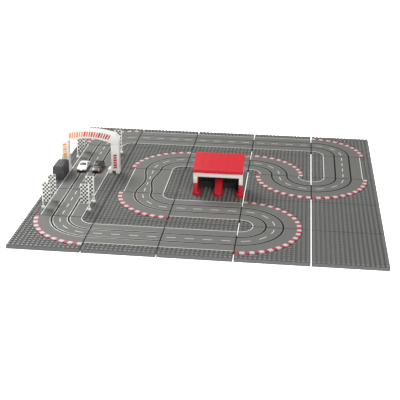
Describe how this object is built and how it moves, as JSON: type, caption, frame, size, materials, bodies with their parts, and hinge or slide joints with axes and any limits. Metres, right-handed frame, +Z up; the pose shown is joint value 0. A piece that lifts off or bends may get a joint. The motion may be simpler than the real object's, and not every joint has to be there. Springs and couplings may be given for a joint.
{
  "type": "slot car track set",
  "caption": "Two-lane slot car circuit on square stud-topped tiles, with a start arch, chequered banners, a pit building, a power terminal and two slot cars.",
  "frame": {"origin": "centre of the table of tiles, on the surface that it stands on", "axes": "+X to the right along the front edge, +Y from the front edge to the back, +Z up"},
  "size_m": [0.648, 0.648, 0.0988],
  "materials": {
    "deck_plastic": "satin moulded ABS, dark grey, with studs",
    "white_plastic": "glossy moulded ABS, warm white",
    "red_plastic": "glossy moulded ABS, bright red",
    "wall_plastic": "dark moulded ABS",
    "terminal_plastic": "textured dark grey ABS",
    "white_paint": "glossy white body with printed trim",
    "charcoal_paint": "glossy charcoal body with printed trim",
    "tinted_glazing": "dark tinted clear plastic",
    "chassis_plastic": "black glass-filled plastic",
    "motor_steel": "plated steel",
    "tyre_rubber": "black rubber tyres on an axle"
  },
  "bodies": {
    "track_set": {"start_tile": "deck_plastic", "straight_tile_1": "deck_plastic", "straight_tile_2": "deck_plastic", "straight_tile_3": "deck_plastic", "straight_tile_4": "deck_plastic", "straight_tile_5": "deck_plastic", "straight_tile_6": "deck_plastic", "straight_tile_7": "deck_plastic", "straight_tile_8": "deck_plastic", "straight_tile_9": "deck_plastic", "straight_tile_10": "deck_plastic", "squeeze_tile": "deck_plastic", "curve_tile_1": "deck_plastic", "curve_tile_2": "deck_plastic", "curve_tile_3": "deck_plastic", "curve_tile_4": "deck_plastic", "curve_tile_5": "deck_plastic", "curve_tile_6": "deck_plastic", "curve_tile_7": "deck_plastic", "curve_tile_8": "deck_plastic", "curve_tile_9": "deck_plastic", "curve_tile_10": "deck_plastic", "plain_tile_1": "deck_plastic", "plain_tile_2": "deck_plastic", "plain_tile_3": "deck_plastic", "arch_left_pylon": "white_plastic", "arch_right_pylon": "white_plastic", "arch_beam": "white_plastic", "pit_divider_left": "red_plastic", "pit_divider_centre": "red_plastic", "pit_divider_right": "red_plastic", "pit_front_frame": "white_plastic", "pit_back_wall": "wall_plastic", "pit_roof": "red_plastic", "power_terminal_housing": "terminal_plastic", "power_terminal_cover": "terminal_plastic"},
    "white_car_guide": {"white_car_guide": "chassis_plastic"},
    "white_car": {"white_car_body": "white_paint", "white_car_glazing": "tinted_glazing", "white_car_chassis": "chassis_plastic", "white_car_motor_can": "motor_steel"},
    "white_car_armature": {"white_car_motor_armature": "motor_steel"},
    "white_car_front_axle": {"white_car_front_axle_and_wheels": "tyre_rubber"},
    "white_car_rear_axle": {"white_car_rear_axle_and_wheels": "tyre_rubber"},
    "dark_car_guide": {"dark_car_guide": "chassis_plastic"},
    "dark_car": {"dark_car_body": "charcoal_paint", "dark_car_glazing": "tinted_glazing", "dark_car_chassis": "chassis_plastic", "dark_car_motor_can": "motor_steel"},
    "dark_car_armature": {"dark_car_motor_armature": "motor_steel"},
    "dark_car_front_axle": {"dark_car_front_axle_and_wheels": "tyre_rubber"},
    "dark_car_rear_axle": {"dark_car_rear_axle_and_wheels": "tyre_rubber"},
    "left_banner_1": {"left_banner_1": "white_plastic"},
    "right_banner_1": {"right_banner_1": "white_plastic"},
    "left_banner_2": {"left_banner_2": "white_plastic"},
    "right_banner_2": {"right_banner_2": "white_plastic"},
    "left_banner_3": {"left_banner_3": "white_plastic"},
    "right_banner_3": {"right_banner_3": "white_plastic"},
    "left_banner_4": {"left_banner_4": "white_plastic"},
    "right_banner_4": {"right_banner_4": "white_plastic"}
  },
  "joints": [
    {"name": "white_car_drive", "type": "slide", "parent": "track_set", "child": "white_car_guide", "axis": [0, -1, 0], "range_m": [-0.156, 0.222]},
    {"name": "white_car_yaw", "type": "hinge", "parent": "white_car_guide", "child": "white_car", "pos_m": [-0.2755, 0.034, 0.0102], "axis": [0, 0, 1], "range_deg": [-5, 5]},
    {"name": "white_car_front_axle_spin", "type": "hinge", "parent": "white_car", "child": "white_car_front_axle", "pos_m": [-0.2755, 0.0385, 0.0118], "axis": [1, 0, 0], "continuous": true},
    {"name": "white_car_rear_axle_spin", "type": "hinge", "parent": "white_car", "child": "white_car_rear_axle", "pos_m": [-0.2755, 0.062, 0.0125], "axis": [1, 0, 0], "continuous": true},
    {"name": "white_car_armature_spin", "type": "hinge", "parent": "white_car", "child": "white_car_armature", "pos_m": [-0.2755, 0.052, 0.0125], "axis": [0, 1, 0], "continuous": true},
    {"name": "dark_car_drive", "type": "slide", "parent": "track_set", "child": "dark_car_guide", "axis": [0, -1, 0], "range_m": [-0.156, 0.222]},
    {"name": "dark_car_yaw", "type": "hinge", "parent": "dark_car_guide", "child": "dark_car", "pos_m": [-0.2445, 0.034, 0.0102], "axis": [0, 0, 1], "range_deg": [-5, 5]},
    {"name": "dark_car_front_axle_spin", "type": "hinge", "parent": "dark_car", "child": "dark_car_front_axle", "pos_m": [-0.2445, 0.0385, 0.0118], "axis": [1, 0, 0], "continuous": true},
    {"name": "dark_car_rear_axle_spin", "type": "hinge", "parent": "dark_car", "child": "dark_car_rear_axle", "pos_m": [-0.2445, 0.062, 0.0125], "axis": [1, 0, 0], "continuous": true},
    {"name": "dark_car_armature_spin", "type": "hinge", "parent": "dark_car", "child": "dark_car_armature", "pos_m": [-0.2445, 0.052, 0.0125], "axis": [0, 1, 0], "continuous": true},
    {"name": "left_banner_1_turn", "type": "hinge", "parent": "track_set", "child": "left_banner_1", "pos_m": [-0.304, -0.158, 0.0064], "axis": [0, 0, 1], "continuous": true},
    {"name": "right_banner_1_turn", "type": "hinge", "parent": "track_set", "child": "right_banner_1", "pos_m": [-0.216, -0.158, 0.0064], "axis": [0, 0, 1], "continuous": true},
    {"name": "left_banner_2_turn", "type": "hinge", "parent": "track_set", "child": "left_banner_2", "pos_m": [-0.304, -0.118, 0.0064], "axis": [0, 0, 1], "continuous": true},
    {"name": "right_banner_2_turn", "type": "hinge", "parent": "track_set", "child": "right_banner_2", "pos_m": [-0.216, -0.118, 0.0064], "axis": [0, 0, 1], "continuous": true},
    {"name": "left_banner_3_turn", "type": "hinge", "parent": "track_set", "child": "left_banner_3", "pos_m": [-0.304, 0.118, 0.0064], "axis": [0, 0, 1], "continuous": true},
    {"name": "right_banner_3_turn", "type": "hinge", "parent": "track_set", "child": "right_banner_3", "pos_m": [-0.216, 0.118, 0.0064], "axis": [0, 0, 1], "continuous": true},
    {"name": "left_banner_4_turn", "type": "hinge", "parent": "track_set", "child": "left_banner_4", "pos_m": [-0.304, 0.158, 0.0064], "axis": [0, 0, 1], "continuous": true},
    {"name": "right_banner_4_turn", "type": "hinge", "parent": "track_set", "child": "right_banner_4", "pos_m": [-0.216, 0.158, 0.0064], "axis": [0, 0, 1], "continuous": true}
  ],
  "couplings": [
    {"joint": "white_car_front_axle_spin", "follows": "white_car_drive", "rad_per_m": 285.71},
    {"joint": "white_car_rear_axle_spin", "follows": "white_car_drive", "rad_per_m": 238.09},
    {"joint": "white_car_armature_spin", "follows": "white_car_drive", "rad_per_m": 595.24},
    {"joint": "dark_car_front_axle_spin", "follows": "dark_car_drive", "rad_per_m": 285.71},
    {"joint": "dark_car_rear_axle_spin", "follows": "dark_car_drive", "rad_per_m": 238.09},
    {"joint": "dark_car_armature_spin", "follows": "dark_car_drive", "rad_per_m": 595.24}
  ]
}
